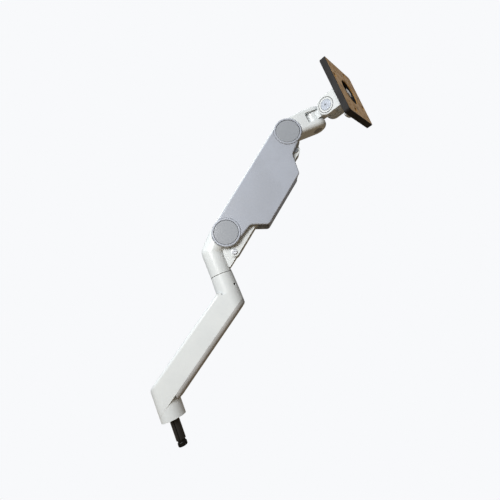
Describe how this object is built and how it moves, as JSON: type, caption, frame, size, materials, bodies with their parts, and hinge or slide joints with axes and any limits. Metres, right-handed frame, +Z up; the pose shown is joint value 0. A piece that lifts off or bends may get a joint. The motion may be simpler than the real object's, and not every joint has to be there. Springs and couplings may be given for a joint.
{
  "type": "monitor arm",
  "caption": "Counterbalanced monitor arm on a plug-in post: a fixed angled link, a swivelling bent bracket, a lifting arm with grey covers, and a swivel, tilt and turn head with a square plate.",
  "frame": {"origin": "On the post's axis at the lower hub's bottom face, where the post leaves the hub.", "axes": "+Z up along the post, +X forward from the post to the plate with the joints at rest, +Y to the left."},
  "size_m": [0.6709, 0.1415, 0.6113],
  "materials": {
    "post_steel": "satin black oxide",
    "sleeve_nylon": "satin black nylon",
    "white_casting": "satin off-white powder coat",
    "white_strip": "satin off-white moulded plastic",
    "grey_cover": "gloss cool grey moulded plastic",
    "grey_cap": "gloss grey moulded plastic",
    "pin_steel": "ground steel",
    "screw_black": "black oxide",
    "bushing_bronze": "oiled bronze",
    "washer_nylon": "black acetal",
    "cylinder_black": "satin black enamel",
    "rod_chrome": "polished chrome",
    "link_white": "satin off-white powder coat",
    "block_zinc": "raw die casting",
    "tray_black": "satin black moulded nylon",
    "face_gold": "golden-brown passivated sheet",
    "hub_bright": "bright zinc",
    "tilt_grey": "satin grey plated"
  },
  "bodies": {
    "lower_link": {"base_post": "post_steel", "post_sleeve": "sleeve_nylon", "lower_link_casting": "white_casting", "lower_link_cable_strip": "white_strip", "post_grip_screws": "screw_black", "hub_stop_screw": "screw_black", "column_bushing": "bushing_bronze", "column_thrust_washer": "washer_nylon"},
    "lower_bracket": {"bracket_stem": "pin_steel", "stem_retaining_ring": "pin_steel", "lower_bracket_casting": "white_casting", "lower_pivot_pin": "pin_steel", "strut_cam_pin": "pin_steel", "parallel_link_lower_pin": "pin_steel", "parallel_link_lower_spacers": "washer_nylon"},
    "lifting_arm": {"lifting_arm_shell": "white_casting", "side_cover_near": "grey_cover", "side_cover_far": "grey_cover", "pivot_rings": "grey_cover", "lower_pivot_caps": "grey_cap", "upper_pivot_caps": "grey_cap", "lower_pivot_bushings": "bushing_bronze", "upper_pivot_bushings": "bushing_bronze", "balance_cylinder": "cylinder_black", "adjusting_block": "block_zinc", "strut_anchor_pin": "pin_steel", "tension_bridge": "block_zinc"},
    "balance_strut_rod": {"balance_rod": "rod_chrome"},
    "adjuster": {"tension_screw": "screw_black"},
    "parallel_bar": {"parallel_link": "link_white"},
    "neck": {"neck_bracket_casting": "white_casting", "upper_pivot_pin": "pin_steel", "parallel_link_upper_pin": "pin_steel", "parallel_link_upper_spacers": "washer_nylon", "swivel_bushings": "bushing_bronze", "swivel_friction_washers": "washer_nylon"},
    "knuckle": {"swivel_knuckle": "white_casting", "swivel_pin": "pin_steel", "tilt_bushings": "bushing_bronze"},
    "tilt_head": {"tilt_head_casting": "white_casting", "tilt_screw": "tilt_grey", "tilt_nut": "tilt_grey", "spindle_bushing": "bushing_bronze"},
    "plate": {"plate_tray": "tray_black", "face_plate": "face_gold", "face_plate_screws": "screw_black", "rotation_disc": "block_zinc", "rotation_spindle": "pin_steel", "hub_plate": "hub_bright", "hub_washer": "hub_bright", "hub_nut": "hub_bright"}
  },
  "joints": [
    {"name": "column_swivel", "type": "hinge", "parent": "lower_link", "child": "lower_bracket", "pos_m": [0.1952, 0, 0.231], "axis": [0, 0, 1], "range_deg": [-160, 160]},
    {"name": "lift", "type": "hinge", "parent": "lower_bracket", "child": "lifting_arm", "pos_m": [0.2398, 0, 0.3091], "axis": [0, -1, 0], "range_deg": [-72.2, 7.7]},
    {"name": "parallel_lower_pivot", "type": "hinge", "parent": "lower_bracket", "child": "parallel_bar", "pos_m": [0.2403, 0, 0.2651], "axis": [0, -1, 0], "range_deg": [-72.3, 7.8]},
    {"name": "neck_level", "type": "hinge", "parent": "lifting_arm", "child": "neck", "pos_m": [0.45332, 0, 0.4714], "axis": [0, -1, 0], "range_deg": [-7.8, 72.3]},
    {"name": "strut_slide", "type": "slide", "parent": "lifting_arm", "child": "balance_strut_rod", "axis": [0.7961, 0, 0.6052], "range_m": [-0.0024, 0.0202]},
    {"name": "tension_turn", "type": "hinge", "parent": "lifting_arm", "child": "adjuster", "pos_m": [0.41606, 0, 0.42424], "axis": [0.7961, 0, 0.6052], "range_deg": [-360, 360]},
    {"name": "head_swivel", "type": "hinge", "parent": "neck", "child": "knuckle", "pos_m": [0.52552, 0, 0.4849], "axis": [0, 0, 1], "range_deg": [-51.4, 128.6]},
    {"name": "tilt", "type": "hinge", "parent": "knuckle", "child": "tilt_head", "pos_m": [0.56264, -0.02963, 0.4849], "axis": [-0.6239, -0.7815, 0], "range_deg": [-20, 70]},
    {"name": "plate_turn", "type": "hinge", "parent": "tilt_head", "child": "plate", "pos_m": [0.56264, -0.02963, 0.4849], "axis": [0.7815, -0.6239, 0], "range_deg": [-86.7, 93.3]}
  ],
  "couplings": [
    {"joint": "parallel_lower_pivot", "follows": "lift", "ratio": 1},
    {"joint": "neck_level", "follows": "lift", "ratio": -1},
    {"joint": "strut_slide", "follows": "lift", "m_per_rad": -0.01585}
  ]
}
